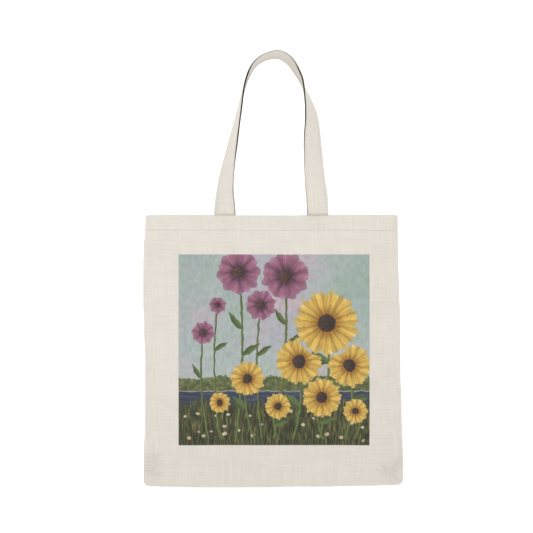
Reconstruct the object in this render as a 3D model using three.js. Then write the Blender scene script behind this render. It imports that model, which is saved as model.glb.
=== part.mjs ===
// A flat cotton canvas tote bag, hanging from a hook by its two handles.
//
// Units are millimetres, +Z is up, the front of the bag faces -Y and +X is to the right of someone
// who looks at the front. The pieces are built with z = 0 at the mouth's edge and x = 0 at the
// middle of the bag, and the finished group is then moved so that its origin is the point where
// the hook carries both handles.
import * as THREE from "three";
import { LoftGeometry } from "three/addons/geometries/LoftGeometry.js";

// ---------------------------------------------------------------- driving dimensions
const CANVAS = 0.8; // one ply of canvas
const THREAD = 0.5; // sewing thread, as it stands on the cloth
const CLEARANCE = 0.4; // between pieces that lie on each other

const TOP_WIDTH = 375; // the body, side seam to side seam, at the mouth
const BOTTOM_WIDTH = 385; // and at the bottom
const BODY_HEIGHT = 401; // mouth to bottom seam, at the sides
const BOTTOM_SAG = 3; // how much lower the middle of the bottom seam hangs
const CORNER_RADIUS = 9; // bottom corners
const MOUTH_DEPTH = 40; // the mouth's outer faces, front to back
const SIDE_CURVE = 80; // width of the stretch over which a panel curves in to a side seam
const BOTTOM_CURVE = 110; // and its height above the bottom seam

const HEM_DEPTH = 24; // the turned-in band round the mouth
const HEM_PLIES = 3; // panel, turned band and its tucked-in raw edge
const HEM_STEP = 1; // length over which the hem's inner edge steps down to one ply
const HEM_STITCH_INSET = 2; // stitch line above the hem's lower edge

const SEAM_GAP = 1.2; // between the two panels along their seams
const SEAM_ALLOWANCE = 10; // the cloth turned in along a seam
const SEAM_INSET = 2; // from the bag's edge to where the allowance stands free
const SEAM_THICKNESS = 2; // its two plies, pressed together
const SEAM_EDGE = 0.4; // its thickness at the fold
const OVERLOCK_REACH = 5; // how far the overlock thread wraps over the allowance
const OVERLOCK_LIFT = 0.35; // gap under that thread

const HANDLE_WIDTH = 30;
const HANDLE_THICKNESS = 2;
const HANDLE_TAIL = 21; // length sewn to the inside of the hem
const HANDLE_RISE = 239; // mouth's edge to the top of the handle's centre line
const FRONT_SPREAD = 139; // between the centre lines of a handle's two ends
const BACK_SPREAD = 136;
const HANDLES_APART = 1.6; // between the two handles where the hook carries them
const APEX_SHIFT = 4; // the hook's place to the right of the bag's middle

const BOX_STITCH_INSET = 2; // the box seam inside the handle end's edges
const BOX_STITCH_WIDTH = 0.7;
const EDGE_STITCH_INSET = 3; // handle seams, from the handle's edges
const EDGE_STITCH_START = 10; // they come out of the hem's shade this far up

const SIDE_COLUMNS = 8; // stations across a curved side
const BOTTOM_ROWS = 8; // stations down the curved bottom
const CORNER_ROWS = 3; // stations round a bottom corner
const HANDLE_STATIONS = 84;

// The way a handle hangs, chosen by hand: places on its centre line, across as a share of its
// spread and up as a share of its rise, with the angle in degrees that its width has turned there
// from lying across the bag (0) to lying front to back (90) and a little further over the hook.
const HANDLE_ROUTE = [
  [-0.511, 0, 0],
  [-0.507, 0.11, 30],
  [-0.49, 0.22, 43],
  [-0.427, 0.42, 61],
  [-0.358, 0.62, 76],
  [-0.285, 0.82, 89],
  [-0.17, 0.945, 97],
  [0.032, 1, 113],
  [0.175, 0.965, 111],
  [0.275, 0.88, 99],
  [0.338, 0.8, 88],
  [0.417, 0.62, 54],
  [0.434, 0.42, 28],
  [0.46, 0.22, 13],
  [0.483, 0.11, 2],
  [0.489, 0, 0],
];

// ---------------------------------------------------------------- materials
const canvas = new THREE.MeshStandardMaterial({ color: 0xe4ddd1, roughness: 0.92, metalness: 0 });
const webbing = new THREE.MeshStandardMaterial({ color: 0xe6dfd2, roughness: 0.9, metalness: 0 });
const thread = new THREE.MeshStandardMaterial({ color: 0xece6d9, roughness: 0.75, metalness: 0 });

// ---------------------------------------------------------------- the body's shape
const clamp01 = (value) => Math.min(1, Math.max(0, value));
const rise = (share) => 1 - (1 - clamp01(share)) ** 2; // 0 at a seam, level from 1 on
const mix = THREE.MathUtils.lerp;

const FULL_DEPTH = MOUTH_DEPTH / 2 - CANVAS - SEAM_GAP / 2; // how far a panel bows from its seams

// Half the bag's width at a distance `down` from the mouth, with the round bottom corners.
function halfWidth(down) {
  const straight = mix(TOP_WIDTH, BOTTOM_WIDTH, down / BODY_HEIGHT) / 2;
  const intoCorner = clamp01((down - BODY_HEIGHT) / CORNER_RADIUS + 1);
  return straight - CORNER_RADIUS * (1 - Math.sqrt(1 - intoCorner ** 2));
}

// The height of a point that is `down` from the mouth: the bottom's middle hangs a little lower.
function heightAt(x, down) {
  const share = clamp01((down - BODY_HEIGHT + BOTTOM_CURVE) / BOTTOM_CURVE);
  return -down - BOTTOM_SAG * share * (1 - (x / halfWidth(down)) ** 2);
}

// How far a panel bows out from the seams' plane, measured to the inside of its one ply.
function bow(x, down) {
  const fromSide = halfWidth(down) - Math.abs(x);
  const fromBottom = BODY_HEIGHT - down;
  return SEAM_GAP / 2 + FULL_DEPTH * rise(fromSide / SIDE_CURVE) * rise(fromBottom / BOTTOM_CURVE);
}

const outerFace = (x, down) => bow(x, down) + CANVAS;
const innerFace = (x, down, plies) =>
  Math.max(SEAM_GAP / 2, outerFace(x, down) - plies * CANVAS);

// Stations across the body at one height, evenly spaced over each curved side.
function columnsAt(down) {
  const half = halfWidth(down);
  const side = [];
  for (let i = 0; i <= SIDE_COLUMNS; i++) side.push(half - (SIDE_CURVE * i) / SIDE_COLUMNS);
  return [...side.map((x) => -x), ...side.reverse()];
}

// Stations down the body, each with the number of plies there.
function rowsOfPanel() {
  const rows = [[0, HEM_PLIES], [HEM_DEPTH, HEM_PLIES], [HEM_DEPTH + HEM_STEP, 1]];
  for (let i = 0; i < BOTTOM_ROWS; i++) {
    rows.push([BODY_HEIGHT - BOTTOM_CURVE * (1 - i / BOTTOM_ROWS), 1]);
  }
  for (let i = 0; i <= CORNER_ROWS; i++) {
    const angle = (Math.PI / 2) * (i / CORNER_ROWS);
    rows.push([BODY_HEIGHT - CORNER_RADIUS * (1 - Math.sin(angle)), 1]);
  }
  return rows;
}

// ---------------------------------------------------------------- making pieces
const pieces = [];

function add(name, geometry, material) {
  const mesh = new THREE.Mesh(geometry, material);
  mesh.name = name;
  pieces.push(mesh);
}

// A closed solid through cross sections. `side` is -1 for the front of the bag and 1 for its back:
// sections are written for the front, and the back's are their mirror images, wound the other way.
function loft(sections, side = -1) {
  const placed = sections.map((section) => {
    const points = section.map((p) => new THREE.Vector3(p.x, -side * p.y, p.z));
    return side < 0 ? points : points.reverse();
  });
  return new LoftGeometry(placed, { capStart: true, capEnd: true });
}

const point = (x, y, z) => new THREE.Vector3(x, y, z);

// ---------------------------------------------------------------- panels
// One sheet of canvas from side seam to side seam, with its hem turned in at the mouth.
function panel(side) {
  const sections = rowsOfPanel().map(([down, plies]) => {
    const columns = columnsAt(down);
    const outside = columns.map((x) => point(x, -outerFace(x, down), heightAt(x, down)));
    const inside = columns.map((x) => point(x, -innerFace(x, down, plies), heightAt(x, down)));
    return [...inside, ...outside.reverse()];
  });
  return loft(sections, side);
}

// ---------------------------------------------------------------- seams
// Half the thickness that an allowance can have at a point, so that its overlock thread still
// clears both panels.
const THREAD_ROOM = OVERLOCK_LIFT + THREAD + CLEARANCE;
const allowanceHalf = (x, down) =>
  Math.max(SEAM_EDGE / 2, Math.min(SEAM_THICKNESS / 2, innerFace(x, down, 1) - THREAD_ROOM));

const FREE_EDGE = SEAM_INSET + SEAM_ALLOWANCE; // from the bag's edge to the allowance's free edge

// Heights along a side seam, from under the hem to just above the round corner.
function sideSeamHeights() {
  const first = HEM_DEPTH + HEM_STEP + SEAM_INSET;
  const last = BODY_HEIGHT - CORNER_RADIUS - FREE_EDGE - SEAM_INSET;
  const heights = [];
  for (let i = 0; i <= 2 * BOTTOM_ROWS; i++) heights.push(mix(first, last, i / (2 * BOTTOM_ROWS)));
  return heights;
}

// Places along the bottom seam, between the two side seams' free edges.
function bottomSeamPlaces() {
  const last = BOTTOM_WIDTH / 2 - CORNER_RADIUS - FREE_EDGE;
  const places = [];
  for (let i = 0; i <= 2 * SIDE_COLUMNS; i++) places.push(mix(-last, last, i / (2 * SIDE_COLUMNS)));
  return places;
}

// A seam allowance's cross section: `inward` maps a distance from the bag's edge and a distance
// from the seams' plane to a point.
function allowanceSection(inward, halfAt) {
  const thin = SEAM_EDGE / 2;
  const middle = (SEAM_INSET + FREE_EDGE) / 2;
  return [
    inward(SEAM_INSET, -thin),
    inward(middle, -halfAt(middle)),
    inward(FREE_EDGE, -halfAt(FREE_EDGE)),
    inward(FREE_EDGE, halfAt(FREE_EDGE)),
    inward(middle, halfAt(middle)),
    inward(SEAM_INSET, thin),
  ];
}

// The overlock thread that wraps an allowance's free edge, as a channel round it.
function overlockSection(inward, halfAt) {
  const start = FREE_EDGE - OVERLOCK_REACH;
  const inner = [
    [start, halfAt(start) + OVERLOCK_LIFT],
    [FREE_EDGE + OVERLOCK_LIFT, halfAt(FREE_EDGE) + OVERLOCK_LIFT],
  ];
  const outer = [
    [start, inner[0][1] + THREAD],
    [FREE_EDGE + OVERLOCK_LIFT + THREAD, inner[1][1] + THREAD],
  ];
  return [
    inward(inner[0][0], -inner[0][1]),
    inward(outer[0][0], -outer[0][1]),
    inward(outer[1][0], -outer[1][1]),
    inward(outer[1][0], outer[1][1]),
    inward(outer[0][0], outer[0][1]),
    inward(inner[0][0], inner[0][1]),
    inward(inner[1][0], inner[1][1]),
    inward(inner[1][0], -inner[1][1]),
  ];
}

// Sections of one side seam; `hand` is -1 on the left and 1 on the right.
function sideSeam(hand, makeSection) {
  return sideSeamHeights().map((down) => {
    const half = halfWidth(down);
    const inward = (from, y) => point(hand * (half - from), y, -down);
    const halfAt = (from) => allowanceHalf(half - from, down);
    const section = makeSection(inward, halfAt);
    return hand < 0 ? section.reverse() : section;
  });
}

// Sections of the bottom seam.
function bottomSeam(makeSection) {
  return bottomSeamPlaces().map((x) => {
    const inward = (from, y) => point(x, y, heightAt(x, BODY_HEIGHT) + from);
    const halfAt = (from) => allowanceHalf(x, BODY_HEIGHT - from);
    return makeSection(inward, halfAt).reverse();
  });
}

// ---------------------------------------------------------------- threads on the panels
// The row of stitches that holds the hem, on the outside of a panel.
function hemStitching(side) {
  const down = HEM_DEPTH - HEM_STITCH_INSET;
  const half = THREAD / 2;
  const sections = columnsAt(down)
    .slice(1, -1)
    .map((x) => {
      const y = -outerFace(x, down) - CLEARANCE - half;
      return [
        point(x, y + half, -down - half),
        point(x, y + half, -down + half),
        point(x, y - half, -down + half),
        point(x, y - half, -down - half),
      ];
    });
  return loft(sections, side);
}

// The box with a cross in it that holds one end of a handle, as one flat lattice of thread.
function boxStitching(side, centre) {
  const across = HANDLE_WIDTH / 2 - BOX_STITCH_INSET;
  const low = -HEM_DEPTH + HEM_STITCH_INSET + BOX_STITCH_INSET;
  const high = -BOX_STITCH_INSET;
  const up = (high - low) / 2;
  const lattice = new THREE.Shape([
    new THREE.Vector2(-across, -up),
    new THREE.Vector2(across, -up),
    new THREE.Vector2(across, up),
    new THREE.Vector2(-across, up),
  ]);
  const w = BOX_STITCH_WIDTH;
  const slope = up / across;
  const crossHalf = (w / 2) * Math.hypot(1, slope); // half the cross's width, measured upwards
  const hole = (corners) => lattice.holes.push(new THREE.Path(corners));
  const corner = (x, y) => new THREE.Vector2(x, y);
  for (const s of [-1, 1]) {
    const inX = across - w;
    const inY = up - w;
    hole([
      corner(0, s * crossHalf),
      corner(((inY - crossHalf) / slope) * s, s * inY),
      corner((-(inY - crossHalf) / slope) * s, s * inY),
    ]);
    hole([
      corner((s * crossHalf) / slope, 0),
      corner(s * inX, -s * (slope * inX - crossHalf)),
      corner(s * inX, s * (slope * inX - crossHalf)),
    ]);
  }
  const flat = new THREE.ExtrudeGeometry(lattice, { depth: THREAD, bevelEnabled: false });
  flat.translate(0, 0, -THREAD / 2);
  flat.rotateX(Math.PI / 2);
  flat.translate(centre, side * (MOUTH_DEPTH / 2 + CLEARANCE + THREAD / 2), (low + high) / 2);
  return flat;
}

// ---------------------------------------------------------------- handles
// A handle's middle plane where it is sewn inside the hem, and where the hook carries it.
const SEWN_DEPTH = MOUTH_DEPTH / 2 - HEM_PLIES * CANVAS - CLEARANCE - HANDLE_THICKNESS / 2;
const HOOKED_DEPTH = (HANDLE_WIDTH + HANDLES_APART) / 2;

// Places along a handle: its centre, and unit vectors along its width (at the hem, towards the
// middle of the bag) and out of its outer face.
function handleStations(spread) {
  const route = new THREE.CatmullRomCurve3(
    HANDLE_ROUTE.map(([across, up, turn]) =>
      point(across * spread, up * HANDLE_RISE, turn),
    ),
    false,
    "catmullrom",
    0.5,
  );
  const lift = (p) => point(p.x, -mix(SEWN_DEPTH, HOOKED_DEPTH, p.y / HANDLE_RISE), p.y);
  const stations = [];
  for (let i = 0; i <= HANDLE_STATIONS; i++) {
    const t = i / HANDLE_STATIONS;
    const here = route.getPoint(t);
    const ahead = lift(route.getPoint(Math.min(1, t + 0.001)));
    const behind = lift(route.getPoint(Math.max(0, t - 0.001)));
    const along = ahead.sub(behind).normalize();
    const centre = lift(here);
    centre.z = Math.max(centre.z, CLEARANCE);
    const front = point(0, -1, 0).addScaledVector(along, along.y).normalize();
    const inward = new THREE.Vector3().crossVectors(front, along).negate();
    const turn = THREE.MathUtils.degToRad(here.z);
    const width = inward
      .clone()
      .multiplyScalar(Math.cos(turn))
      .addScaledVector(front, Math.sin(turn));
    const outward = new THREE.Vector3().crossVectors(width, along).normalize();
    stations.push({ centre, width, outward });
  }
  return stations;
}

// A bar along the handle, from `start` above the mouth on its left to the same height on its
// right: `from` and `to` are places across its width, `low` and `high` are distances out of its
// middle plane.
function alongHandle(side, spread, start, from, to, low, high) {
  const place = ({ centre, width, outward }, w, n) => {
    const spot = centre.clone().addScaledVector(width, w).addScaledVector(outward, n);
    return spot.setZ(Math.max(spot.z, start));
  };
  const sections = handleStations(spread)
    .filter((station) => station.centre.z >= start)
    .map((station) => [
      place(station, from, low),
      place(station, from, high),
      place(station, to, high),
      place(station, to, low),
    ]);
  return loft(sections, side);
}

const STRAP_FACE = HANDLE_THICKNESS / 2; // its faces, from its middle plane

function strap(side, spread) {
  const edge = HANDLE_WIDTH / 2;
  return alongHandle(side, spread, CLEARANCE, -edge, edge, -STRAP_FACE, STRAP_FACE);
}

// The row of stitches near one edge; `edge` is 1 for the edge nearer the middle of the bag.
function edgeStitching(side, spread, edge) {
  const across = edge * (HANDLE_WIDTH / 2 - EDGE_STITCH_INSET);
  const t = THREAD / 2;
  const low = STRAP_FACE + CLEARANCE;
  return alongHandle(side, spread, EDGE_STITCH_START, across - t, across + t, low, low + THREAD);
}

// The end of a handle that is sewn flat against the inside of the hem.
function handleEnd(side, centre) {
  const end = new THREE.BoxGeometry(HANDLE_WIDTH, HANDLE_THICKNESS, HANDLE_TAIL);
  end.translate(centre, side * SEWN_DEPTH, -HANDLE_TAIL / 2);
  return end;
}

// ---------------------------------------------------------------- assembly
const SIDES = [
  ["front", -1, FRONT_SPREAD],
  ["back", 1, BACK_SPREAD],
];
for (const [face, side, spread] of SIDES) {
  add(`${face}_panel`, panel(side), canvas);
  add(`${face}_hem_stitching`, hemStitching(side), thread);
  add(`${face}_handle_strap`, strap(side, spread), webbing);
  add(`${face}_handle_outer_edge_stitching`, edgeStitching(side, spread, -1), thread);
  add(`${face}_handle_inner_edge_stitching`, edgeStitching(side, spread, 1), thread);
  const ends = [
    ["left", HANDLE_ROUTE[0][0] * spread],
    ["right", HANDLE_ROUTE.at(-1)[0] * spread],
  ];
  for (const [hand, centre] of ends) {
    add(`${face}_${hand}_handle_end`, handleEnd(side, centre), webbing);
    add(`${face}_${hand}_box_stitching`, boxStitching(side, centre), thread);
  }
}
for (const [hand, sign] of [["left", -1], ["right", 1]]) {
  add(`${hand}_side_seam`, loft(sideSeam(sign, allowanceSection)), canvas);
  add(`${hand}_side_overlock`, loft(sideSeam(sign, overlockSection)), thread);
}
add("bottom_seam", loft(bottomSeam(allowanceSection)), canvas);
add("bottom_overlock", loft(bottomSeam(overlockSection)), thread);

// The hook carries each handle under its inner edge, at the lowest point of the arch's underside.
const arch = pieces.find((piece) => piece.name === "front_handle_strap");
const corners = arch.geometry.getAttribute("position");
let hookHeight = HANDLE_RISE;
for (let i = 0; i < corners.count; i++) {
  const overHook = Math.abs(corners.getX(i) - APEX_SHIFT) < HANDLE_WIDTH / 4;
  if (overHook && corners.getZ(i) > HANDLE_RISE / 2) {
    hookHeight = Math.min(hookHeight, corners.getZ(i));
  }
}

const toteBag = new THREE.Group();
toteBag.name = "tote_bag";
toteBag.add(...pieces);
toteBag.position.set(-APEX_SHIFT, 0, -hookHeight);

export default toteBag;
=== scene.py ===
"""The looks of a flat cotton canvas tote bag that hangs from a hook by its two handles.

Everything is in metres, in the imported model's frame: +Z is up, the printed front faces -Y, and the
origin is where the hook carries the handles. `down` is a distance below the mouth, `across` runs
from -1 at the left side seam to 1 at the right one, and `side` is -1 for the front and 1 for the back.
"""
import math

import bmesh
import bpy
import numpy as np
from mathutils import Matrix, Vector


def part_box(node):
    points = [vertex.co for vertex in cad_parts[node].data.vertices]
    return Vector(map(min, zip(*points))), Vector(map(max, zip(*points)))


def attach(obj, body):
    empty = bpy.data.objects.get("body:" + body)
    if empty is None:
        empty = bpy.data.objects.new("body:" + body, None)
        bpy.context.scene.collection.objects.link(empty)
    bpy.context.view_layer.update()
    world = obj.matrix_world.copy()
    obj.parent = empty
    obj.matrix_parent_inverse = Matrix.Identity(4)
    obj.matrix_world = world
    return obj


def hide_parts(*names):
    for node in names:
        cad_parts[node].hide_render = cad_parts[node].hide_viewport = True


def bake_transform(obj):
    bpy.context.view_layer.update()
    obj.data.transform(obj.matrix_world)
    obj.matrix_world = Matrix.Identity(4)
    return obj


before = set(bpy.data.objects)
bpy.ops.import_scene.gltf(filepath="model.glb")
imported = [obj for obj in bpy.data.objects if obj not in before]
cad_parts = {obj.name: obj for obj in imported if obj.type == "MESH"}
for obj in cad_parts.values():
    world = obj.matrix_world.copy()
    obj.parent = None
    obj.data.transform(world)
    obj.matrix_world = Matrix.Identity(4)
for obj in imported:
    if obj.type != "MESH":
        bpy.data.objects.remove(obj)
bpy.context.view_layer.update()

MM = 0.001

# ------------------------------------------------------------------ sizes taken from the frame
PANEL_LOW, PANEL_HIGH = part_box("front_panel")
MIDDLE_X = (PANEL_LOW.x + PANEL_HIGH.x) / 2
MOUTH_Z = PANEL_HIGH.z
FACE_DEPTH = -PANEL_LOW.y  # a panel's outer face at the mouth, from the plane of the side seams
HEM_STITCH_DOWN = MOUTH_Z - sum(corner.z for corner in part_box("front_hem_stitching")) / 2
TAIL_LOW, TAIL_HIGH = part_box("front_left_handle_end")
TAIL_DEPTH = -(TAIL_LOW.y + TAIL_HIGH.y) / 2  # the handles' middle plane inside the hem
HANDLE_WIDTH = TAIL_HIGH.x - TAIL_LOW.x
HANDLE_HALF_THICKNESS = (TAIL_HIGH.y - TAIL_LOW.y) / 2
TAIL_LENGTH = TAIL_HIGH.z - TAIL_LOW.z
SEAM_LOW, SEAM_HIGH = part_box("left_side_seam")

# ------------------------------------------------------------------ the cloth
PLY = 0.8 * MM
HEM_PLIES = 3
HEM_DEPTH = HEM_STITCH_DOWN + 2 * MM
BODY_HEIGHT = 401 * MM
HALF_WIDTH_TOP = 187.5 * MM
HALF_WIDTH_BOTTOM = 192.5 * MM
CORNER_RADIUS = 9 * MM
SIDE_CURVE = 80 * MM
BOTTOM_CURVE = 110 * MM
SEAM_ROLL = 1.3 * MM  # radius of the cloth's turn into a seam
SEAM_GROOVE = 0.12 * MM  # half the gap between the two panels there
FULL_BOW = FACE_DEPTH - SEAM_ROLL - SEAM_GROOVE

# How far each side edge and the bottom edge stand out from a straight cut, in millimetres: pairs of
# a distance down the side, or of a place along the bottom from the left, and the offset there.
LEFT_EDGE_DRIFT = [(0, 0.7), (25, 0.9), (45, 2.4), (70, 3.0), (120, 2.4), (170, 0.5), (215, -1.6),
                   (318, -2.6), (345, -1.1), (401, -1.5)]
RIGHT_EDGE_DRIFT = [(0, -0.7), (36, -0.6), (66, -0.7), (110, 0.1), (155, 1.0), (245, 0.4), (275, 1.4),
                    (318, 1.4), (333, 2.1), (375, 2.8), (401, 2.0)]
BOTTOM_DRIFT = [(0, 1.4), (40, 2.1), (75, 3.1), (180, 3.0), (215, 1.8), (270, 1.8), (300, 0.8), (340, 0.3),
                (362, -0.5), (385, -0.6)]


def smooth(low, high, value):
    """0 below low, 1 above high and an S-curve between them."""
    share = np.clip((value - low) / (high - low), 0, 1)
    return share * share * (3 - 2 * share)


def through(points, value):
    """A smooth line through given (place, offset) pairs in millimetres, in metres."""
    places = np.array([p[0] for p in points]) * MM
    offsets = np.array([p[1] for p in points]) * MM
    value = np.clip(value, places[0], places[-1])
    slot = np.clip(np.searchsorted(places, value, side="right") - 1, 0, len(places) - 2)
    share = smooth(places[slot], places[slot + 1], value)
    return offsets[slot] * (1 - share) + offsets[slot + 1] * share


def rise(share):
    """A quarter-round rise: steep at 0 and level at 1."""
    return 1 - (1 - np.clip(share, 0, 1)) ** 2


def half_width(down):
    """Half the body's width, with the rounded bottom corner."""
    straight = HALF_WIDTH_TOP + (HALF_WIDTH_BOTTOM - HALF_WIDTH_TOP) * down / BODY_HEIGHT
    into_corner = np.clip((down - BODY_HEIGHT) / CORNER_RADIUS + 1, 0, 1)
    return straight - CORNER_RADIUS * (1 - np.sqrt(1 - into_corner**2))


def side_edge(hand, down):
    """X of the bag's left (hand -1) or right (1) edge."""
    drift = through(LEFT_EDGE_DRIFT if hand < 0 else RIGHT_EDGE_DRIFT, down)
    return MIDDLE_X + hand * (half_width(down) + drift)


def soft_waves(seed, x, z, lengths, count=7):
    """Gentle undulations of the cloth, between -1 and 1, with wavelengths in that range."""
    draw = np.random.default_rng(seed)
    total = np.zeros(np.broadcast(x, z).shape)
    for _ in range(count):
        turn, phase = draw.uniform(0, math.pi), draw.uniform(0, 2 * math.pi)
        length = draw.uniform(*lengths)
        total += np.sin(2 * math.pi * (x * math.cos(turn) + z * math.sin(turn)) / length + phase)
    return total / count


def crease(x, z, start, end, width, depth):
    """One soft crease between two (x, z) points, fading at both ends and sideways."""
    along = np.array(end) - np.array(start)
    length = np.hypot(*along)
    along = along / length
    s = (x - start[0]) * along[0] + (z - start[1]) * along[1]
    off = (x - start[0]) * along[1] - (z - start[1]) * along[0]
    ends = smooth(-0.25 * length, 0.2 * length, s) * (1 - smooth(0.8 * length, 1.25 * length, s))
    profile = (1 - (off / width) ** 2) * np.exp(-((off / width) ** 2) / 2)
    return depth * ends * profile


# The sharp creases beside the lower left seam: height above the bottom, reach inwards and depth, in mm.
SHARP_CREASES = [(47, 24, 1.1), (39, 27, 1.0), (31, 22, 1.1), (21, 30, 1.2)]
SHARP_WIDTH = 1.6
SHARP_FALL = 2  # how much lower each of them ends than it starts
# The softer ones: the side they belong to (-1 left, 1 right), then in mm the way in from that side and the
# height above the bottom of one end and of the other, the width and the depth.
SOFT_CREASES = [
    (1, (0, 40), (16, 22), 2.4, 2.0),
    (1, (34, 27), (9, 3), 4.5, 3.2),
    (1, (0, 96), (34, 80), 5, 0.9),
    (-1, (0, 130), (38, 118), 6, 0.9),
    (-1, (12, 8), (13, 62), 3, 1.0),
]
# The pull of each handle end on the cloth below it: sideways lean, length in mm and depth in mm.
HANDLE_PULLS = [(-0.35, 120, 0.6), (0.28, 150, 0.7)]
FRONT_SHARE, BACK_SHARE = 1.35, -0.7  # how strongly the two panels show the same creases


def corner_wrinkles(side, x, down):
    """The creases pressed into the bottom corners, and where the handles pull."""
    z = -down
    edges = {hand: side_edge(hand, BODY_HEIGHT - 3 * CORNER_RADIUS) for hand in (-1, 1)}
    creases = [(-1, (0, height), (reach, height - SHARP_FALL), SHARP_WIDTH, depth)
               for height, reach, depth in SHARP_CREASES]
    relief = np.zeros(np.broadcast(x, down).shape)
    for hand, *ends, width, depth in creases + SOFT_CREASES:
        start, end = [(edges[hand] - hand * way_in * MM, -BODY_HEIGHT + height * MM)
                      for way_in, height in ends]
        relief += crease(x, z, start, end, width * MM, depth * MM)
    for place in ("left", "right"):
        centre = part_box(f"front_{place}_handle_end")[0].x + HANDLE_WIDTH / 2
        for lean, reach, depth in HANDLE_PULLS:
            start = (centre + 6 * lean * MM, -HEM_DEPTH - 3 * MM)
            end = (centre + lean * reach * MM, -HEM_DEPTH - reach * MM)
            relief += crease(x, z, start, end, 9 * MM, depth * MM)
    return relief * (FRONT_SHARE if side < 0 else BACK_SHARE)


# Heights of the small relief in the cloth.
HEM_GROOVE, HEM_BAND, HEM_PUCKER = 0.55 * MM, 0.30 * MM, 0.20 * MM
ALLOWANCE_STEP, SEAM_PUCKER = 0.5 * MM, 0.16 * MM
SHORT_WAVES, LONG_WAVES = 1.1 * MM, 1.8 * MM
MOUTH_DIP, MOUTH_WAVE = 0.5 * MM, 0.37  # the mouth's line dips this much, over this length


def hem_relief(x, down):
    """The hem's stitch groove, its small puckers, and the edges of the folded band under the cloth."""
    off = down - HEM_STITCH_DOWN
    near = np.exp(-((off / (3.2 * MM)) ** 2))
    pucker = np.sin(2 * math.pi * x / (6.3 * MM) + 1.3 * np.sin(x / (31 * MM)))
    pucker += 0.6 * np.sin(2 * math.pi * x / (9.1 * MM) + off / (2 * MM))
    groove = -HEM_GROOVE * np.exp(-((off / (0.9 * MM)) ** 2))
    band = HEM_BAND * (1 - smooth(HEM_DEPTH - 1 * MM, HEM_DEPTH + 1.5 * MM, down))
    return groove + band + HEM_PUCKER * near * pucker


def seam_relief(from_side, from_bottom):
    """The turned-in allowance shows through the cloth as a low step along each seam."""
    allowance, step = 9.5 * MM, 0.9 * MM
    beside = 1 - smooth(allowance - step, allowance + step, np.minimum(from_side, from_bottom))
    return ALLOWANCE_STEP * beside


def edge_puckers(x, down, from_side, from_bottom):
    """Short wrinkles that the seams' stitches draw into the cloth next to them."""
    sides = np.sin(2 * math.pi * down / (8.3 * MM) + 2 * np.sin(down / (27 * MM)))
    bottom = np.sin(2 * math.pi * x / (9.7 * MM) + 2 * np.sin(x / (33 * MM)))
    fade = 9 * MM
    return SEAM_PUCKER * (sides * np.exp(-from_side / fade) + bottom * np.exp(-from_bottom / fade))


def face_point(side, across, down, drape=None):
    """Points of a panel's outer face, as an array of x, y, z."""
    across, down = np.broadcast_arrays(across, down)
    left, right = side_edge(-1, down), side_edge(1, down)
    x = left + (right - left) * (across + 1) / 2
    from_side = (1 - np.abs(across)) * (right - left) / 2
    from_bottom = BODY_HEIGHT - down
    in_bottom = np.clip(1 - from_bottom / BOTTOM_CURVE, 0, 1)
    z = MOUTH_Z - down - in_bottom * through(BOTTOM_DRIFT, x - side_edge(-1, 0 * down))
    dip = np.cos(2 * math.pi * (x - MIDDLE_X) / MOUTH_WAVE)
    z = z - MOUTH_DIP * (1 - smooth(0, 60 * MM, down)) * dip
    nearest = np.minimum(from_side, from_bottom)
    roll = SEAM_GROOVE + SEAM_ROLL * np.sqrt(rise(nearest / SEAM_ROLL))
    bow = FULL_BOW * rise(from_side / SIDE_CURVE) * rise(from_bottom / BOTTOM_CURVE)
    free = smooth(2 * MM, 45 * MM, from_side) * smooth(2 * MM, 40 * MM, from_bottom)
    free_of_hem = free * smooth(0, 60 * MM, down)
    relief = SHORT_WAVES * free_of_hem * soft_waves(11 + side, x, z, (0.05, 0.13))
    relief += LONG_WAVES * free_of_hem * soft_waves(23 + side, x, 0.35 * z, (0.09, 0.2))
    stands = smooth(0.2 * MM, 3 * MM, nearest)
    relief += corner_wrinkles(side, x, down) * stands
    relief += (seam_relief(from_side, from_bottom) + hem_relief(x, down)) * stands
    relief += edge_puckers(x, down, from_side, from_bottom) * stands
    points = np.stack([x, side * (roll + bow + relief), z], axis=-1)
    if drape is not None:
        points = points + drape(side, across, down)
    return points


def face_normal(side, across, down, drape=None):
    """Unit normals out of a panel's outer face."""
    step = 0.4 * MM
    share = step / HALF_WIDTH_BOTTOM
    low, high = np.clip(across - share, -1, 1), np.clip(across + share, -1, 1)
    over, under = np.clip(down - step, 0, BODY_HEIGHT), np.clip(down + step, 0, BODY_HEIGHT)
    to_right = face_point(side, high, down, drape) - face_point(side, low, down, drape)
    to_up = face_point(side, across, over, drape) - face_point(side, across, under, drape)
    normal = np.cross(to_right, to_up) * -side
    return normal / np.maximum(np.linalg.norm(normal, axis=-1, keepdims=True), 1e-12)


def in_scene(name, data):
    """A new object for a mesh, light or camera, placed in the scene."""
    made = bpy.data.objects.new(name, data)
    bpy.context.scene.collection.objects.link(made)
    return made


# ------------------------------------------------------------------ the drape, by cloth simulation
DRAPE_COLUMNS = 48
DRAPE_ROWS = 52
DRAPE_FRAMES = 26
DRAPE_CAP = 4.5 * MM


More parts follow.
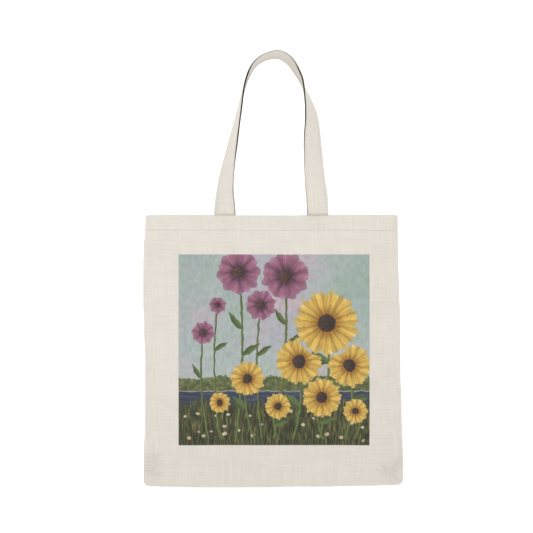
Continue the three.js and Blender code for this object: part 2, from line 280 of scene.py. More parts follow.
def simulated_drape():
    """Hangs the bare body as cloth and returns how far it settles, as a function of the place on it."""
    acrosses = np.linspace(-1, 1, DRAPE_COLUMNS + 1)
    downs = np.linspace(0, BODY_HEIGHT, DRAPE_ROWS + 1)
    rows = len(downs)
    rest = {side: face_point(side, acrosses[:, None], downs[None, :]) for side in (-1, 1)}
    ring = [(-1, i) for i in range(DRAPE_COLUMNS + 1)] + [(1, i) for i in range(DRAPE_COLUMNS - 1, 0, -1)]
    vertices = [rest[side][i, j] for side, i in ring for j in range(rows)]
    faces = [
        (a * rows + j, a * rows + j + 1, b * rows + j + 1, b * rows + j)
        for a in range(len(ring))
        for b in [(a + 1) % len(ring)]
        for j in range(rows - 1)
    ]
    where = {place: index for index, place in enumerate(ring)}
    where.update({(1, 0): where[(-1, 0)], (1, DRAPE_COLUMNS): where[(-1, DRAPE_COLUMNS)]})
    for i in range(1, DRAPE_COLUMNS - 1):
        corners = [(-1, i), (1, i), (1, i + 1), (-1, i + 1)]
        faces.append(tuple(where[corner] * rows + rows - 1 for corner in corners))
    body = in_scene("drape_rig", bpy.data.meshes.new("drape_rig"))
    body.data.from_pydata([tuple(v) for v in vertices], [], faces)
    held = body.vertex_groups.new(name="held")
    for index in range(len(vertices)):
        hem_share = 1 - float(smooth(HEM_DEPTH * 0.6, HEM_DEPTH * 2.2, downs[index % rows]))
        if hem_share > 0:
            held.add([index], hem_share, "REPLACE")
    cloth = body.modifiers.new("cloth", "CLOTH")
    settings = cloth.settings
    settings.quality = 7
    settings.mass = 0.02
    settings.tension_stiffness = settings.compression_stiffness = 25
    settings.shear_stiffness = 12
    settings.bending_stiffness = 1.2
    settings.air_damping = 3
    settings.shrink_min = -0.011
    settings.vertex_group_mass = "held"
    cloth.point_cache.frame_start, cloth.point_cache.frame_end = 1, DRAPE_FRAMES
    for number in range(1, DRAPE_FRAMES + 1):
        bpy.context.scene.frame_set(number)
    settled = body.evaluated_get(bpy.context.evaluated_depsgraph_get())
    moved = np.array([v.co for v in settled.data.vertices]) - np.array(vertices)
    bpy.context.scene.frame_set(1)
    bpy.data.objects.remove(body)
    fields = {}
    for side in (-1, 1):
        field = np.array([moved[where[(side, i)] * rows:][:rows] for i in range(DRAPE_COLUMNS + 1)])
        for _ in range(2):
            padded = np.pad(field, ((1, 1), (1, 1), (0, 0)), "edge")
            field = (padded[:-2, 1:-1] + padded[2:, 1:-1] + padded[1:-1, :-2] + padded[1:-1, 2:]) / 4
        length = np.linalg.norm(field, axis=-1, keepdims=True)
        fields[side] = field * np.minimum(1, DRAPE_CAP / np.maximum(length, 1e-9))

    def drape(side, across, down):
        """The settled offset there: only out of the face, and none along the seams and the mouth."""
        u = np.clip((across + 1) / 2, 0, 1) * DRAPE_COLUMNS
        v = np.clip(down / BODY_HEIGHT, 0, 1) * DRAPE_ROWS
        i, j = np.minimum(u.astype(int), DRAPE_COLUMNS - 1), np.minimum(v.astype(int), DRAPE_ROWS - 1)
        fu, fv = smooth(0, 1, u - i)[..., None], smooth(0, 1, v - j)[..., None]
        field = fields[side]
        above = field[i, j] * (1 - fu) + field[i + 1, j] * fu
        below = field[i, j + 1] * (1 - fu) + field[i + 1, j + 1] * fu
        offset = above * (1 - fv) + below * fv
        from_side = (1 - np.abs(across)) * HALF_WIDTH_BOTTOM
        free = smooth(1 * MM, 50 * MM, from_side) * smooth(1 * MM, 60 * MM, BODY_HEIGHT - down)
        free = free * smooth(HEM_DEPTH, 3 * HEM_DEPTH, down)
        return offset * free[..., None] * np.array([0, 1, 0])

    return drape


# ------------------------------------------------------------------ making meshes
def new_piece(name, vertices, faces, material):
    """A closed mesh with its faces turned outwards, as an object in the scene."""
    mesh = bpy.data.meshes.new(name)
    corners = [tuple(int(i) for i in face) for face in faces]
    mesh.from_pydata(np.asarray(vertices).reshape(-1, 3).tolist(), [], corners)
    shape = bmesh.new()
    shape.from_mesh(mesh)
    bmesh.ops.recalc_face_normals(shape, faces=shape.faces)
    shape.to_mesh(mesh)
    shape.free()
    mesh.materials.append(material)
    mesh.shade_smooth()
    return in_scene(name, mesh)


def tube_faces(rings, around):
    """Quads between neighbouring rings of a closed outline, and a cap at each end."""
    faces = []
    for i in range(rings - 1):
        for j in range(around):
            k = (j + 1) % around
            faces.append((i * around + j, i * around + k, (i + 1) * around + k, (i + 1) * around + j))
    for first in (0, (rings - 1) * around):
        faces.append(tuple(range(first, first + around)))
    return faces


def way_along(points):
    """The distance travelled along a line of points, at each of them."""
    return np.concatenate([[0], np.cumsum(np.linalg.norm(np.diff(points, axis=0), axis=1))])


def grid_faces(columns, rows, start=0):
    """Quads between neighbours of a grid whose points are stored column by column."""
    i, j = np.meshgrid(np.arange(columns - 1), np.arange(rows - 1), indexing="ij")
    a = (start + i * rows + j).ravel()
    return np.stack([a, a + 1, a + rows + 1, a + rows], axis=1)


def mark_sharp(mesh, chosen):
    """Marks the edges whose two ends are both chosen vertices as sharp."""
    ends = np.zeros(len(mesh.edges) * 2, np.int32)
    mesh.edges.foreach_get("vertices", ends)
    ends = ends.reshape(-1, 2)
    attribute = mesh.attributes.new("sharp_edge", "BOOLEAN", "EDGE")
    attribute.data.foreach_set("value", chosen[ends[:, 0]] & chosen[ends[:, 1]])


FINE = 2.0 * MM  # the cloth's grid
ROLL_STEPS = (0, 0.12, 0.35, 0.7, 1.1, 1.6, 2.4, 3.6)


def spaced(length, roll_at_end, dense=()):
    """Places from 0 to length: close together in the roll at the end, and near the dense places."""
    end = length - ROLL_STEPS[-1] * MM if roll_at_end else length
    places = list(np.linspace(0, end, max(2, round(end / FINE))))
    if roll_at_end:
        places += [length - step * MM for step in reversed(ROLL_STEPS[:-1])]
    for centre in dense:
        places += [centre + k * 0.45 * MM for k in range(-4, 5)]
    places = np.sort(np.array(places))
    return places[np.append(True, np.diff(places) > 0.1 * MM)]


def cloth_panel(name, side, first, last, material, drape):
    """A panel between two places across, as one closed sheet: up its outside, over the mouth with the
    hem's plies, and down its inside."""
    half = HALF_WIDTH_BOTTOM
    right = spaced(half, True) / half
    acrosses = np.concatenate([-right[:0:-1], right])
    acrosses = acrosses[(acrosses >= first - 1e-9) & (acrosses <= last + 1e-9)]
    creases = [BODY_HEIGHT - (height - SHARP_FALL / 2) * MM for height, _, _ in SHARP_CREASES]
    dense = [HEM_STITCH_DOWN, HEM_DEPTH] + (creases if side < 0 else [])
    downs = spaced(BODY_HEIGHT, True, dense)
    hem = HEM_PLIES * PLY
    fold = hem / 2
    downs = np.concatenate([[fold], downs[downs > fold + 0.5 * MM]])
    at = acrosses[:, None]
    outside = face_point(side, at, downs[None, :], drape)
    normals = face_normal(side, at, downs[None, :], drape)
    step = smooth(HEM_DEPTH - 0.5 * MM, HEM_DEPTH + 0.5 * MM, downs)
    depth = hem + (PLY - hem) * step
    room = np.abs(outside[..., 1]) - SEAM_GROOVE
    along_y = np.maximum(np.abs(normals[..., 1]), 0.25)
    depth = np.minimum(depth[None, :], np.maximum(room / along_y, 0.5 * PLY))
    inside = outside - normals * depth[..., None]
    turn = np.linspace(0, math.pi, 7)[1:-1]
    middle = (outside[:, :1] + inside[:, :1]) / 2
    reach = outside[:, :1] - middle
    up = np.array([0, 0, 1.0]) * fold * 0.95
    over = middle + reach * np.cos(turn)[None, :, None] + up * np.sin(turn)[None, :, None]
    points = np.concatenate([outside[:, ::-1], over, inside], axis=1)
    columns, rows = points.shape[:2]
    faces = [tuple(face) for face in grid_faces(columns, rows)]
    outer_rows = len(downs)
    for column in (0, columns - 1):
        ring = column * rows + np.arange(rows)
        for k in range(outer_rows - 1):
            faces.append((ring[k], ring[k + 1], ring[rows - 2 - k], ring[rows - 1 - k]))
        faces.append(tuple(ring[outer_rows - 1:rows - outer_rows + 1]))
    for a in range(0, (columns - 1) * rows, rows):
        faces.append((a, a + rows, a + 2 * rows - 1, a + rows - 1))
    piece = new_piece(name, points, faces, material)
    for column, across in ((0, acrosses[0]), (columns - 1, acrosses[-1])):
        if abs(across) < 1 - 1e-6:
            at_cut = np.zeros(columns * rows, bool)
            at_cut[column * rows:(column + 1) * rows] = True
            mark_sharp(piece.data, at_cut)
    return piece


# ------------------------------------------------------------------ the handles
# The way a handle hangs: places on its centre line, across as a share of its spread and up as a share
# of its rise, with the angle in degrees that its width has turned there.
HANDLE_ROUTE = [
    (-0.511, 0, 0),
    (-0.507, 0.11, 30),
    (-0.49, 0.22, 43),
    (-0.427, 0.42, 61),
    (-0.358, 0.62, 76),
    (-0.285, 0.82, 89),
    (-0.17, 0.943, 97),
    (0.032, 0.993, 105),
    (0.175, 0.960, 106),
    (0.275, 0.88, 99),
    (0.338, 0.8, 88),
    (0.417, 0.62, 54),
    (0.434, 0.42, 28),
    (0.46, 0.22, 13),
    (0.483, 0.11, 2),
    (0.489, 0, 0),
]
HANDLE_RISE = 239 * MM
HANDLE_SPREAD = {-1: 139 * MM, 1: 136 * MM}
HANDLES_APART = 1.6 * MM
HOOKED_DEPTH = (HANDLE_WIDTH + HANDLES_APART) / 2
EDGE_STITCH_INSET = 3 * MM
STRAP_STEP = 1.9 * MM
BACK_BULGE = 0.02  # the back handle's arms stand wider by this share
BACK_TURN = 12  # and turn further by this many degrees
STITCH_PITCH = 3.1 * MM
SEAM_PULL, PULL_RIPPLE = 0.30 * MM, 0.07 * MM  # how far a seam draws the strap in, and how unevenly


def route_curve(points, count):
    """A Catmull-Rom curve through the points, as count evenly timed places."""
    points = np.array(points, float)
    ends = np.array([2 * points[0] - points[1], *points, 2 * points[-1] - points[-2]])
    t = np.linspace(0, len(points) - 1, count)
    i = np.minimum(t.astype(int), len(points) - 2)
    f = (t - i)[:, None]
    before, here, there, after = ends[i], ends[i + 1], ends[i + 2], ends[i + 3]
    leave, arrive = (there - before) / 2, (after - here) / 2
    bend = 3 * (there - here) - 2 * leave - arrive
    return here + leave * f + bend * f**2 + (leave + arrive - 2 * (there - here)) * f**3


def handle_stations(side):
    """Centres and unit width and outward vectors along a whole handle, sewn ends included."""
    route = route_curve(HANDLE_ROUTE, 3000)
    height = route[:, 1] * HANDLE_RISE
    depth = TAIL_DEPTH + (HOOKED_DEPTH - TAIL_DEPTH) * route[:, 1]
    arms = np.sin(math.pi * np.clip(route[:, 1], 0, 1)) * (side > 0)
    across = route[:, 0] * (1 + BACK_BULGE * arms)
    centre = np.stack([MIDDLE_X + across * HANDLE_SPREAD[side], side * depth, MOUTH_Z + height], 1)
    turn = np.radians(route[:, 2] + BACK_TURN * arms)
    length = way_along(centre)
    even = np.linspace(0, length[-1], round(length[-1] / STRAP_STEP))
    centre = np.stack([np.interp(even, length, centre[:, k]) for k in range(3)], 1)
    turn = np.interp(even, length, turn)
    tail = np.arange(-TAIL_LENGTH, -STRAP_STEP / 2, STRAP_STEP)
    ends = [np.stack([0 * tail, 0 * tail, tail], 1) + centre[k] for k in (0, -1)]
    centre = np.concatenate([ends[0], centre, ends[1][::-1]])
    turn = np.concatenate([0 * tail, turn, 0 * tail])
    for _ in range(3):
        centre[1:-1] = (centre[:-2] + 2 * centre[1:-1] + centre[2:]) / 4
    along = np.gradient(centre, axis=0)
    along /= np.linalg.norm(along, axis=1, keepdims=True)
    front = np.array([0, side, 0.0])
    front = front - along * (along @ front)[:, None]
    front /= np.linalg.norm(front, axis=1, keepdims=True)
    inward = side * np.cross(front, along)
    width = inward * np.cos(turn)[:, None] + front * np.sin(turn)[:, None]
    outward = side * np.cross(along, width)
    return centre, width, outward, way_along(centre)


def strap_half_thickness(w, travelled, gape=0):
    """Half the folded strip's thickness: pulled in along its two seams, round at its folded edge."""
    beside_seam = np.abs(w) - (HANDLE_WIDTH / 2 - EDGE_STITCH_INSET)
    pull = SEAM_PULL + PULL_RIPPLE * np.sin(2 * math.pi * travelled / STITCH_PITCH)
    pillow = 0.10 * MM * np.cos(w / HANDLE_WIDTH * math.pi)
    swell = 0.05 * MM * np.sin(travelled / (17 * MM) + w / (9 * MM))
    seam = pull * np.exp(-((beside_seam / (0.6 * MM)) ** 2))
    edge = np.clip((np.abs(w) - HANDLE_WIDTH / 2 + 1.3 * MM) / (1.3 * MM), 0, 1)
    roundness = np.where(w < 0, 0.92, 0.2 - 1.3 * gape)
    return (HANDLE_HALF_THICKNESS + pillow + swell - seam) * np.sqrt(1 - roundness * edge**2)


OPEN_PLY_HALF = 1.05 * MM  # half the gap between the plies at a handle's open edge, at its widest
OPEN_PLY_BACK = 0.22 * MM  # how far that gap sits towards the strap's inner face
OPEN_PLY_DEPTH = 2.4 * MM
LEAST_PAINTED_GAP_SHADE = 0.35  # how dark the painted shade in the gap is where the gap is closed, as a share of its darkest
# How wide the open edge gapes, as a share of its widest, against the share of the handle's rise.
GAPE = [(-0.1, 0.2), (0, 0.3), (0.3, 0.5), (0.42, 1), (0.88, 1), (0.96, 0.4), (1, 0.2)]


def strap_sway(travelled, side):
    """How far a strap wanders sideways from its centre line."""
    return 0.25 * MM * np.sin(travelled / 0.023) + 0.15 * MM * np.sin(travelled / 0.009 + side)


def strap_section(travelled, gape):
    """The strap's outline across, as (count, 2) places, and which of them line the open edge's gap."""
    edge = HANDLE_WIDTH / 2
    seam = edge - EDGE_STITCH_INSET
    half_gap, back = OPEN_PLY_HALF * gape, OPEN_PLY_BACK * gape
    near_seam = [seam + k * MM for k in (-1.2, -0.6, -0.25, 0, 0.25, 0.6, 1.1)]
    half = [0, 3.5 * MM, 7 * MM, 9.4 * MM, *near_seam, edge - 1.2 * MM, edge - 0.7 * MM, edge - 0.3 * MM,
            edge - 0.05 * MM]
    across = np.array([-w for w in half[:0:-1]] + half)
    top = np.stack([across, strap_half_thickness(across, travelled, gape)], 1)
    gap = np.array([(edge, half_gap + 0.12 * MM), (edge - 0.25 * MM, half_gap),
                    (edge - 1.2 * MM, 0.6 * half_gap), (edge - OPEN_PLY_DEPTH, 0),
                    (edge - 1.2 * MM, -0.6 * half_gap), (edge - 0.25 * MM, -half_gap),
                    (edge, -half_gap - 0.12 * MM)])
    gap[:, 1] -= back
    fold = np.array([(-edge, 0.0)])
    section = np.concatenate([top, gap, top[::-1] * [1, -1], fold])
    in_gap = np.zeros(len(section))
    in_gap[len(top) + 1:len(top) + len(gap) - 1] = 1
    return section, in_gap


def make_strap(name, side, material):
    """A whole handle: a folded strip whose open edge gapes along its arms."""
    centre, width, outward, travelled = handle_stations(side)
    rings = []
    shares, gapes = zip(*GAPE)
    gapes = np.interp((centre[:, 2] - MOUTH_Z) / HANDLE_RISE, shares, gapes)
    for c, w, o, s, gape in zip(centre, width, outward, travelled, gapes):
        section, in_gap = strap_section(s, gape)
        rings.append(c + (section[:, :1] + strap_sway(s, side)) * w + section[:, 1:] * o)
    points = np.array(rings)
    columns, around = points.shape[:2]
    piece = new_piece(name, points, tube_faces(columns, around), material)
    corner = np.zeros(len(piece.data.loops), np.int32)
    piece.data.loops.foreach_get("vertex_index", corner)
    places = np.stack([np.tile(section[:, 0], columns), np.repeat(travelled, around)], 1)
    layer = piece.data.uv_layers.new(name="cloth")
    layer.data.foreach_set("uv", places[corner].astype(np.float32).ravel())
    # Painted shade: the points that line the open edge's gap get a darkening weight, more where the gap
    # gapes wider, standing in for the shadow inside it.
    inside = piece.data.attributes.new("inside fold", "FLOAT", "POINT")
    shade = np.outer(LEAST_PAINTED_GAP_SHADE + (1 - LEAST_PAINTED_GAP_SHADE) * gapes, in_gap)
    inside.data.foreach_set("value", shade.astype(np.float32).ravel())
    return piece


# ------------------------------------------------------------------ node trees
class Wiring:
    """Adds nodes to one tree and feeds their inputs with values or with other nodes' outputs."""

    def __init__(self, tree):
        self.tree = tree

    def feed(self, socket, value):
        if isinstance(value, bpy.types.NodeSocket):
            self.tree.links.new(value, socket)
        elif socket.type == "VECTOR":
            socket.default_value = value[:3]
        else:
            socket.default_value = value

    def node(self, kind, inputs, **settings):
        """A new node; a setting such as its mode comes before its inputs are fed."""
        made = self.tree.nodes.new(kind if "Node" in kind else "ShaderNode" + kind)
        for key, value in settings.items():
            setattr(made, key, value)
        for key, value in inputs.items():
            self.feed(made.inputs[key], value)
        return made

    def out(self, kind, inputs, **settings):
        """The first output of a new node."""
        return self.node(kind, inputs, **settings).outputs[0]

    def maths(self, operation, *values):
        return self.out("Math", dict(enumerate(values)), operation=operation)

    def plus(self, first, second):
        return self.maths("ADD", first, second)

    def minus(self, first, second):
        return self.maths("SUBTRACT", first, second)

    def times(self, first, second):
        return self.maths("MULTIPLY", first, second)

    def over(self, first, second):
        return self.maths("DIVIDE", first, second)

    def times_plus(self, first, second, third):
        """first * second + third"""
        return self.maths("MULTIPLY_ADD", first, second, third)

    def vector(self, operation, *values):
        return self.out("VectorMath", dict(enumerate(values)), operation=operation)

    def scaled(self, value, share):
        return self.out("VectorMath", {0: value, "Scale": share}, operation="SCALE")

    def length(self, value):
        return self.node("VectorMath", {0: value}, operation="LENGTH").outputs["Value"]

    def coordinates(self, kind="Object"):
        return self.node("TexCoord", {}).outputs[kind]

    def split(self, value):
        return self.node("SeparateXYZ", {0: value}).outputs

    def join(self, x, y, z=0.0):
        return self.out("CombineXYZ", {0: x, 1: y, 2: z})

    def spread(self, value, low, high, to_low=0.0, to_high=1.0, soft=True):
        """The value's place between low and high, as an amount between two others."""
        kind = "SMOOTHSTEP" if soft else "LINEAR"
        inputs = {"Value": value, "From Min": low, "From Max": high, "To Min": to_low, "To Max": to_high}
        settings = {"interpolation_type": kind, "clamp": not soft}
        return self.node("MapRange", inputs, **settings).outputs["Result"]

    def noise(self, place, stretch, detail=2.0, roughness=0.5, output="Fac"):
        """Noise with `stretch` features a unit each way."""
        place = self.vector("MULTIPLY", place, (*stretch, 1.0))
        inputs = {"Vector": place, "Scale": 1.0, "Detail": detail, "Roughness": roughness}
        return self.node("TexNoise", inputs, noise_dimensions="3D").outputs[output]

    def mix(self, share, first, second, blend="MIX"):
        made = self.node("Mix", {0: share, 6: first, 7: second}, data_type="RGBA", blend_type=blend)
        return made.outputs[2]

    def mix_vector(self, share, first, second):
        made = self.node("Mix", {0: share, 4: first, 5: second}, data_type="VECTOR")
        return made.outputs[1]

    def ramp(self, value, *stops):
        """Colours at places from 0 to 1."""
        made = self.node("ValToRGB", {0: value})
        steps = made.color_ramp.elements
        while len(steps) < len(stops):
            steps.new(0.5)
        for step, (place, colour) in zip(steps, stops):
            step.position, step.color = place, colour
        return made.outputs["Color"]

    def tint(self, colour, value):
        """The colour times a brightness."""
        grey = self.out("CombineColor", {0: value, 1: value, 2: value})
        return self.mix(1.0, colour, grey, blend="MULTIPLY")

    def distance(self, x, y):
        return self.maths("SQRT", self.times_plus(y, y, self.times(x, x)))

    def group(self, tree, inputs):
        return self.node("Group", inputs, node_tree=tree).outputs


# The kinds of socket a group can have, and Blender's word for each.
KINDS = {"vector": "Vector", "value": "Float", "colour": "Color", "geometry": "Geometry",
         "finish": "Material"}


def node_group(name, inputs, outputs, tree_kind="ShaderNodeTree"):
    """An empty group with named sockets, its wiring, and the sockets by name. The sockets are given as
    the names of each kind, with a comma and a space between them."""
    tree = bpy.data.node_groups.new(name, tree_kind)
    for direction, kinds in (("INPUT", inputs), ("OUTPUT", outputs)):
        for kind, labels in kinds.items():
            for label in labels.split(", "):
                tree.interface.new_socket(label, in_out=direction, socket_type="NodeSocket" + KINDS[kind])
    given, made = tree.nodes.new("NodeGroupInput"), tree.nodes.new("NodeGroupOutput")
    return tree, Wiring(tree), given.outputs, made.inputs


# ------------------------------------------------------------------ rows of thread
def on_face(side, x, down, lift, drape):
    """Points that stand `lift` out of a panel's outer face at x and down."""
    left, right = side_edge(-1, down), side_edge(1, down)
    across = 2 * (x - left) / (right - left) - 1
    return face_point(side, across, down, drape) + face_normal(side, across, down, drape) * lift


SUNK = 0.05 * MM  # how far a stitch's axis stands above the cloth
HEM_LIFTS = (SUNK, -(HEM_PLIES * PLY + SUNK))


def hem_rows(side, first, last, drape):
    """The hem's stitch line between two places across, on both faces."""
    down = np.full(260, HEM_STITCH_DOWN)
    inset = 0.988
    across = np.linspace(max(first, -inset), min(last, inset), 260)
    x = side_edge(-1, down) + (side_edge(1, down) - side_edge(-1, down)) * (across + 1) / 2
    return [on_face(side, x, down, lift, drape) for lift in HEM_LIFTS]


def box_rows(side, centre_x, drape):
    """The four sides and the cross that hold one end of a handle, on both faces."""
    inset = 2 * MM
    reach = HANDLE_WIDTH / 2 - inset
    top, foot = inset, HEM_STITCH_DOWN - inset
    corners = [(-reach, top), (reach, top), (reach, foot), (-reach, foot)]
    lines = [(corners[k], corners[(k + 1) % 4]) for k in range(4)]
    lines += [(corners[0], corners[2]), (corners[1], corners[3])]
    inner_face = TAIL_DEPTH - HANDLE_HALF_THICKNESS - SUNK - 0.08 * MM
    rows = []
    for start, end in lines:
        share = np.linspace(0, 1, 24)
        wobble = 0.18 * MM * np.sin(share * 7 + centre_x * 90)
        x = centre_x + start[0] + (end[0] - start[0]) * share + wobble
        down = start[1] + (end[1] - start[1]) * share - wobble
        rows.append(on_face(side, x, down, SUNK + 0.05 * MM, drape))
        rows.append(np.stack([x, np.full(24, side * inner_face), MOUTH_Z - down], 1))
    return rows


def strap_rows(side, edge):
    """One seam of a handle, on both faces. `edge` is 1 for the open edge and -1 for the folded one."""
    centre, width, outward, travelled = handle_stations(side)
    w = edge * (HANDLE_WIDTH / 2 - EDGE_STITCH_INSET)
    lift = strap_half_thickness(w, travelled)[:, None] + SUNK
    sway = strap_sway(travelled, side)[:, None]
    inner = slice(2, -2)
    return [(centre + (w + sway) * width + face * lift * outward)[inner] for face in (1, -1)]


def finished_thread(w, shape, thread):
    """The last nodes of a thread's tree: a plain, smooth mesh of the given finish."""
    shape = w.out("GeometryNodeRealizeInstances", {"Geometry": shape})
    shape = w.out("GeometryNodeSetShadeSmooth", {"Geometry": shape})
    return w.out("GeometryNodeSetMaterial", {"Geometry": shape, "Material": thread})


def stitches_tree():
    """Geometry nodes: evenly spaced stitches along each line of the mesh that comes in."""
    tree, w, given, made = node_group(
        "stitches along a row",
        {"geometry": "Rows", "value": "Pitch, Stitch length, Thread thickness", "finish": "Thread"},
        {"geometry": "Stitches"}, "GeometryNodeTree",
    )
    row = w.out("GeometryNodeMeshToCurve", {"Mesh": given["Rows"]})
    row = w.out("GeometryNodeResampleCurve", {"Curve": row, "Length": given["Pitch"]}, mode="LENGTH")
    thick = given["Thread thickness"]
    bead = w.out("GeometryNodeMeshUVSphere", {"Segments": 7, "Rings": 6, "Radius": 0.5})
    size = w.join(thick, thick, given["Stitch length"])
    bead = w.out("GeometryNodeTransform", {"Geometry": bead, "Scale": size})
    tangent = w.out("GeometryNodeInputTangent", {})
    turn = w.out("FunctionNodeAlignRotationToVector", {"Vector": tangent}, axis="Z")
    beads = w.out("GeometryNodeInstanceOnPoints", {"Points": row, "Instance": bead, "Rotation": turn})
    w.feed(made["Stitches"], finished_thread(w, beads, given["Thread"]))
    return tree


def thread_tree():
    """Geometry nodes: one continuous thread along each line of the mesh that comes in."""
    tree, w, given, made = node_group(
        "thread along a path",
        {"geometry": "Path", "value": "Thread thickness", "finish": "Thread"},
        {"geometry": "Threads"}, "GeometryNodeTree",
    )
    path = w.out("GeometryNodeMeshToCurve", {"Mesh": given["Path"]})
    half = w.times(given["Thread thickness"], 0.5)
    ring = w.out("GeometryNodeCurvePrimitiveCircle", {"Resolution": 5, "Radius": half})
    sweep = w.out("GeometryNodeCurveToMesh", {"Curve": path, "Profile Curve": ring, "Fill Caps": True})
    w.feed(made["Threads"], finished_thread(w, sweep, given["Thread"]))
    return tree


def sewn(name, rows, tree, values):
    """Runs a node tree on lines of points and keeps its result as a plain mesh."""
    vertices, edges = [], []
    for row in rows:
        start = len(vertices)
        vertices += [tuple(p) for p in row]
        edges += [(start + k, start + k + 1) for k in range(len(row) - 1)]
    lines = bpy.data.meshes.new(name + "_lines")
    lines.from_pydata(vertices, edges, [])
    guide = in_scene(name + "_guide", lines)
    modifier = guide.modifiers.new("thread", "NODES")
    modifier.node_group = tree
    for socket in tree.interface.items_tree:
        if socket.name in values:
            modifier[socket.identifier] = values[socket.name]
    settled = guide.evaluated_get(bpy.context.evaluated_depsgraph_get())
    mesh = bpy.data.meshes.new_from_object(settled)
    bpy.data.objects.remove(guide)
    mesh.name = name
    return in_scene(name, mesh)


# ------------------------------------------------------------------ seams inside the bag
ALLOWANCE_START = 1.4 * MM
ALLOWANCE_END = 12 * MM


def seam_lines():
    """The three seams as (name, points along the bag's edge, inward vector, bow of the cloth there)."""
    top = MOUTH_Z - SEAM_HIGH.z
    foot = MOUTH_Z - SEAM_LOW.z
    downs = np.linspace(top, foot, 150)
    lines = []
    for name, hand in (("left_side", -1), ("right_side", 1)):
        edge = np.stack([side_edge(hand, downs), 0 * downs, MOUTH_Z - downs], 1)
        lines.append((name, edge, np.array([-hand, 0, 0.0]), BODY_HEIGHT - downs))
    low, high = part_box("bottom_seam")
    x = np.linspace(low.x, high.x, 150)
    z = MOUTH_Z - BODY_HEIGHT - through(BOTTOM_DRIFT, x - side_edge(-1, 0.0))
    from_side = np.minimum(x - side_edge(-1, BODY_HEIGHT / 2), side_edge(1, BODY_HEIGHT / 2) - x)
    lines.append(("bottom", np.stack([x, 0 * x, z], 1), np.array([0, 0, 1.0]), from_side))
    return lines


def allowance_half(name, reach, other):
    """Half the allowance's thickness, clear of the cloth on both sides."""
    near, far = (BOTTOM_CURVE, SIDE_CURVE) if name == "bottom" else (SIDE_CURVE, BOTTOM_CURVE)
    room = SEAM_ROLL + FULL_BOW * rise(reach / near) * rise(other / far) - PLY - 0.45 * MM
    return np.clip(room, 0.15 * MM, 0.9 * MM)


def make_allowance(name, edge, inward, other, material):
    """One seam's turned-in cloth, a strip that fills out and waves a little away from the seam."""
    reaches = np.array([ALLOWANCE_START, 3 * MM, 6 * MM, 9 * MM, ALLOWANCE_END - 0.5 * MM, ALLOWANCE_END])
    shape = np.array([0.5, 0.8, 1.0, 1.0, 0.9, 0.45])
    waves = 0.35 * MM * np.sin(np.arange(len(edge)) / 7.0)
    rings = []
    for k in range(len(edge)):
        half = allowance_half(name, reaches, other[k]) * shape
        spots = edge[k] + reaches[:, None] * inward
        lean = waves[k] * smooth(2 * MM, 12 * MM, reaches) * (half > 0.6 * MM)
        front = spots + np.stack([0 * half, lean - half, 0 * half], 1)
        back = spots + np.stack([0 * half, lean + half, 0 * half], 1)
        rings.append(np.concatenate([front, back[::-1]]))
    faces = tube_faces(len(rings), len(rings[0]))
    return new_piece(f"{name}_seam_allowance", np.array(rings), faces, material)


def overlock_path(name, edge, inward, other):
    """The thread's way along a seam: over the allowance's edge and back under it, again and again."""
    length = way_along(edge)
    stitches = int(length[-1] / (2.6 * MM))
    t = np.linspace(0, 1, stitches * 8)
    phase = np.arange(stitches * 8) % 8 / 8 * 2 * math.pi
    spot = np.stack([np.interp(t * length[-1], length, edge[:, k]) for k in range(3)], 1)
    beside = np.interp(t * length[-1], length, other)
    reach = ALLOWANCE_END - 2.4 * MM + 2.7 * MM * np.cos(phase)
    half = allowance_half(name, ALLOWANCE_END - 2 * MM, beside) + 0.15 * MM
    return spot + reach[:, None] * inward + np.stack([0 * t, half * np.sin(phase), 0 * t], 1)


# ------------------------------------------------------------------ node trees for the finishes
LIGHT = 1.31  # how much brighter than its own colour a surface facing the camera looks in this light


def seen(red, green, blue):
    """The base colour of a surface that looks this (0 to 255) in the studio's light."""
    linear = []
    for level in (red, green, blue):
        share = level / 255
        share = share / 12.92 if share <= 0.04045 else ((share + 0.055) / 1.055) ** 2.4
        linear.append(min(share / LIGHT, 0.95))
    return (*linear, 1.0)


def woven_canvas():
    """Plain-weave cotton: threads, slubs, tone and seed flecks. Place is in metres on the cloth."""
    tree, w, given, made = node_group(
        "woven canvas",
        {"vector": "Place", "value": "Thread pitch, Slubs, Flecks", "colour": "Cloth"},
        {"colour": "Colour", "value": "Height, Threads"},
    )
    place = given["Place"]
    wander = w.noise(place, (110, 110), output="Color")
    wander = w.scaled(w.vector("SUBTRACT", wander, (0.5, 0.5, 0.5)), 0.0009)
    turns = w.over(math.pi, given["Thread pitch"])
    threads = w.split(w.scaled(w.vector("ADD", place, wander), turns))
    warp, weft = w.maths("SINE", threads[0]), w.maths("SINE", threads[1])
    over = w.times(warp, weft)
    warp_up = w.times(w.maths("ABSOLUTE", warp), w.times_plus(over, 0.5, 0.5))
    weft_up = w.times(w.maths("ABSOLUTE", weft), w.times_plus(over, -0.5, 0.5))
    woven = w.maths("MAXIMUM", warp_up, weft_up)
    slubs = w.plus(w.noise(place, (750, 22), 1.0), w.noise(place, (22, 750), 1.0))
    slubs = w.times(w.minus(slubs, 1.0), given["Slubs"])
    bands = w.minus(w.plus(w.noise(place, (170, 6)), w.noise(place, (6, 150))), 1.0)
    cloudy = w.minus(w.noise(place, (26, 26), 3.0), 0.5)
    shade = w.times_plus(woven, 0.20, 0.88)
    for marks, strength in ((slubs, 0.18), (bands, 0.05), (cloudy, 0.08)):
        shade = w.times_plus(marks, strength, shade)
    seeds = w.spread(w.noise(place, (820, 820), 1.0), 0.735, 0.80)
    husks = w.spread(w.noise(place, (240, 1300), 1.0), 0.755, 0.80)
    flecks = w.times(w.maths("MAXIMUM", seeds, husks), given["Flecks"])
    lint = w.noise(place, (2100, 2100), 3.0, 0.7)
    height = w.times(woven, 0.11 * MM)
    height = w.times_plus(slubs, 0.14 * MM, height)
    height = w.times_plus(lint, 0.03 * MM, height)
    w.feed(made["Colour"], w.mix(flecks, w.tint(given["Cloth"], shade), seen(150, 124, 92)))
    w.feed(made["Height"], height)
    w.feed(made["Threads"], woven)
    return tree


